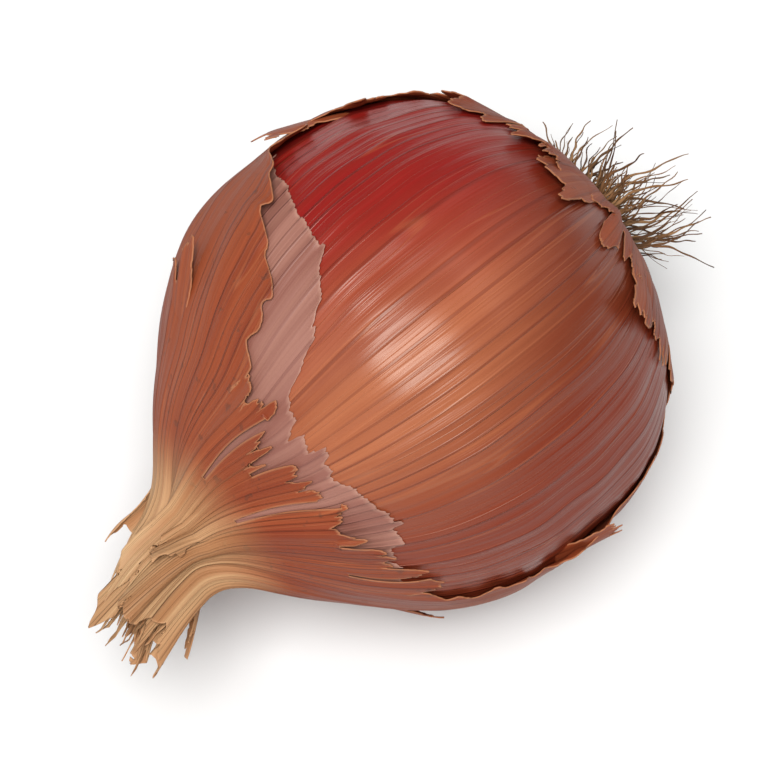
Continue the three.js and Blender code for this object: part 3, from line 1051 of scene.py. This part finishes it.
# %% Glossy copper-red skin
def glossy_paint(tree, mask):
    """Red on one side, copper in the middle, browner toward the roots partly as its own colour and partly as
    painted shade, and darker low down as painted shade.
    """
    skin = node(tree, "ShaderNodeSeparateXYZ", {0: attribute(tree, "vein_place", "Vector")}).outputs
    side, along = skin[1], skin[2]
    red_part = ranged(tree, maths(tree, "ADD", side, times(tree, along, 0.35)), -0.56, 0.26)
    # Mask for the browner root end and low side: partly the skin's own colour, partly painted shade of the
    # rim.
    browning_and_shade = maths(tree, "SUBTRACT", times(tree, along, 0.6), times(tree, side, 0.5))
    copper, light_copper, golden = (0.24, 0.06, 0.025), (0.345, 0.105, 0.044), (0.40, 0.14, 0.062)
    # The colour for the root end is partly the skin's own and partly painted shade; the darkest colour for
    # the low side is painted shade.
    deep_red, brown_and_shade, painted_low_shade = (0.22, 0.004, 0.005), (0.125, 0.02, 0.007), (0.165, 0.02, 0.007)
    return layered(
        tree, blend(tree, mask["Streaks"], copper, light_copper), (mask["Tone"], 0.35, golden),
        # Next: browner toward the roots, partly painted shade, then painted shade low down the side.
        (red_part, 0.95, deep_red), (ranged(tree, browning_and_shade, 0.1, 0.5), 0.85, brown_and_shade),
        (ranged(tree, side, -0.55, -0.95), 0.85, painted_low_shade), (mask["Grain"], 0.2, (0.14, 0.02, 0.009)),
        (mask["Veins"], 0.5, (0.09, 0.01, 0.006)), (mask["Threads"], 0.16, (0.45, 0.15, 0.06)))


GLOSSY = finish("glossy copper skin", glossy_paint, 60.0, (40.0, 0.03), (0.31, 0.39), 0.1 * MM,
                {"Veins": 0.5, "Streaks": 0.35, "Threads": 0.2, "Grain": 0.22},
                Specular_IOR_Level=0.34, Specular_Tint=(1, 0.97, 0.88, 1))


# %% Dull outer skin
def dry_paint(tree, mask):
    """Rust with broad streaks, which turns to straw at the neck and is paler along the torn edge."""
    coarse = vein_masks(tree, 26.0, 0.06, VEINS)
    edge = ranged(tree, attribute(tree, "to_edge"), 0.0, 0.2, 1.0, 0.0)
    neck = ranged(tree, attribute(tree, "neck"), 0.4, 1.0)
    rust, light_rust, tan = (0.19, 0.031, 0.0095), (0.25, 0.048, 0.0145), (0.28, 0.062, 0.02)
    broad_red, broad_orange = (0.14, 0.017, 0.0075), (0.31, 0.08, 0.029)
    straw, light_straw, red_straw = (0.34, 0.17, 0.072), (0.52, 0.34, 0.175), (0.36, 0.15, 0.06)
    base = blend(tree, mask["Streaks"], rust, light_rust)
    base = blend(tree, 0.4, base, blend(tree, coarse["Streaks"], broad_red, broad_orange))
    straw_part = layered(
        tree, blend(tree, coarse["Streaks"], straw, light_straw), (mask["Tone"], 0.45, red_straw),
        (coarse["Grain"], 0.25, (0.24, 0.11, 0.05)), (coarse["Veins"], 0.4, (0.16, 0.07, 0.032)))
    return layered(
        tree, base, (mask["Tone"], 0.5, tan), (mask["Grain"], 0.22, (0.12, 0.022, 0.01)),
        (mask["Veins"], 0.55, (0.085, 0.015, 0.008)), (mask["Threads"], 0.22, (0.42, 0.15, 0.06)),
        (mask["Specks"], 0.4, (0.06, 0.028, 0.018)), (neck, 0.9, straw_part), (edge, 0.35, (0.5, 0.26, 0.13)))


DRY = finish("dry outer skin", dry_paint, 70.0, (38.0, 0.04), (0.46, 0.6), 0.12 * MM,
             {"Veins": 0.6, "Streaks": 0.4, "Grain": 0.25, "Specks": 0.15}, Specular_IOR_Level=0.18)


# %% Pale layer and the inside of loose skin
# Pale greyish purple, partly the layer's own colour and partly a painted reflection.
def pale_and_reflection_paint(tree, mask):
    edge = ranged(tree, attribute(tree, "to_edge"), 0.0, 0.4, 1.0, 0.0)
    return layered(
        tree, blend(tree, mask["Streaks"], (0.225, 0.085, 0.06), (0.30, 0.135, 0.098)),
        (mask["Grain"], 0.25, (0.17, 0.055, 0.045)), (mask["Veins"], 0.4, (0.13, 0.038, 0.032)),
        (edge, 0.4, (0.42, 0.23, 0.17)))


def inside_paint(tree, mask):
    base = blend(tree, mask["Streaks"], (0.30, 0.12, 0.06), (0.42, 0.21, 0.11))
    return layered(tree, base, (mask["Veins"], 0.4, (0.20, 0.07, 0.035)))


# The pale layer's finish: its colour is partly its own and partly a painted reflection.
PALE_AND_REFLECTION = finish("pale purple skin and painted reflection", pale_and_reflection_paint, 90.0, (36.0, 0.04), (0.45, 0.55), 0.09 * MM,
              {"Veins": 0.5, "Streaks": 0.5, "Grain": 0.2}, Specular_IOR_Level=0.4)
INSIDE = finish("inside of dry skin", inside_paint, 90.0, (34.0, 0.05), (0.4, 0.5), 0.08 * MM,
                {"Veins": 0.6, "Streaks": 0.4}, Specular_IOR_Level=0.45)


# %% Cork of the root plate and bark of the dried roots
def cork_paint(tree, mask):
    base = blend(tree, mask["Tone"], (0.075, 0.038, 0.02), (0.22, 0.13, 0.07))
    return blend(tree, mask["Specks"], base, (0.05, 0.028, 0.018))


def root_paint(tree, mask):
    """Roots differ in shade, and each darkens to its tip."""
    pale = ranged(tree, attribute(tree, "shade"), 0.45, 1.0)
    return layered(
        tree, blend(tree, mask["Tone"], (0.05, 0.021, 0.009), (0.2, 0.092, 0.036)),
        (pale, 0.6, (0.36, 0.2, 0.09)), (attribute(tree, "share"), 0.4, (0.035, 0.017, 0.009)))


CORK = finish("root plate cork", cork_paint, 260.0, None, (0.8, 0.95), 0.3 * MM,
              {"Tone": 1.0, "Specks": -0.6}, Specular_IOR_Level=0.25)
ROOT = finish("dried root", root_paint, 330.0, None, (0.65, 0.85), 0.12 * MM,
              {"Tone": 1.0}, Specular_IOR_Level=0.2)


# %% Dress the pieces and tie them to the frame
def dress(piece, slot, *materials):
    """Puts materials in the piece's first slots, keeps the face numbers, and rides it on the one body."""
    numbers = [face.material_index for face in piece.data.polygons]
    piece.data.materials.clear()
    for material in materials:
        piece.data.materials.append(material)
    piece.data.polygons.foreach_set("material_index", [min(n, len(materials) - 1) for n in numbers])
    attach(piece, "root")
    print(piece.name, "wears", [material.name for material in materials])


dress(glossy_skin, "papery_skin", GLOSSY)
dress(outer_skin, "papery_skin", DRY, INSIDE)
dress(pale_skin, "papery_skin", PALE_AND_REFLECTION)
for piece in flakes + papers:
    dress(piece, "papery_skin", DRY, INSIDE)
dress(root_plate, "dried_roots", CORK)
dress(dried_roots, "dried_roots", ROOT)
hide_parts("bulb")
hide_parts("root_tuft")

# %% [markdown]
# ## Floor, light and camera
# A plain pale floor and soft lights keep the skin's own gloss readable. The lights are distant ones that look
# wide, so they light the floor alike all over. The main light stands close to the camera's line, which puts
# one broad soft highlight near the middle of the bulb.

# %% Floor and world
FLOOR_SIZE = 30
SKY_GLOW = 0.2
WHITE = (1, 1, 1, 1)
alone(None)
bpy.ops.mesh.primitive_plane_add(size=FLOOR_SIZE, location=(0, 0, 0))
floor = named("floor")
floor_values = {"Roughness": 0.7, "Base Color": (0.64, 0.64, 0.635, 1)}
floor.data.materials.append(new_material("pale floor", floor_values)[0])

world = bpy.data.worlds.new("studio")
world.use_nodes = True
sky = world.node_tree
sky.nodes.clear()
backdrop = node(sky, "ShaderNodeBackground", {0: WHITE, 1: 1.0})
ambient = node(sky, "ShaderNodeBackground", {0: WHITE, 1: SKY_GLOW})
seen = node(sky, "ShaderNodeLightPath").outputs["Is Camera Ray"]
either = node(sky, "ShaderNodeMixShader", {0: seen, 1: ambient.outputs[0], 2: backdrop.outputs[0]})
node(sky, "ShaderNodeOutputWorld", {"Surface": either.outputs[0]})
bpy.context.scene.world = world
bpy.context.scene.view_settings.view_transform = "Standard"
print("floor:", FLOOR_SIZE, "m wide, sky glow:", SKY_GLOW)

# %% Lights, each with its azimuth, height and apparent width in degrees, and its strength
CENTRE = Vector((-0.004, 0, AXIS_HEIGHT))
LIGHT_DISTANCE = 0.3
LIGHTS = [("main light", -52, 70, 32, 4.6), ("side fill", -120, 35, 40, 0.35), ("back fill", 90, 40, 40, 0.3)]


def toward(azimuth, elevation):
    """Unit vector from the object toward a viewer at this azimuth and elevation, in degrees."""
    a, e = math.radians(azimuth), math.radians(elevation)
    return Vector((math.sin(a) * math.cos(e), -math.cos(a) * math.cos(e), math.sin(e)))


def aimed(name, data, azimuth, elevation, distance):
    """Puts a light or a camera round the object, looking at its centre."""
    made = bpy.data.objects.new(name, data)
    bpy.context.scene.collection.objects.link(made)
    direction = toward(azimuth, elevation)
    made.location = CENTRE + direction * distance
    made.rotation_mode = "QUATERNION"
    made.rotation_quaternion = direction.to_track_quat("Z", "Y")
    return made


for name, azimuth, elevation, width, strength in LIGHTS:
    light = bpy.data.lights.new(name, "SUN")
    light.angle = math.radians(width)
    light.energy = strength
    aimed(name, light, azimuth, elevation, LIGHT_DISTANCE)
print("lights:", [name for name, *_ in LIGHTS])

# %% Camera
VIEW_AZIMUTH, VIEW_ELEVATION = -41, 64
VIEW_DISTANCE = 0.26
camera_data = bpy.data.cameras.new("camera")
camera_data.lens = 150
camera_data.clip_start = 0.01
camera = aimed("camera", camera_data, VIEW_AZIMUTH, VIEW_ELEVATION, VIEW_DISTANCE)
bpy.context.scene.camera = camera
print("camera at, mm:", [round(v / MM) for v in camera.location])
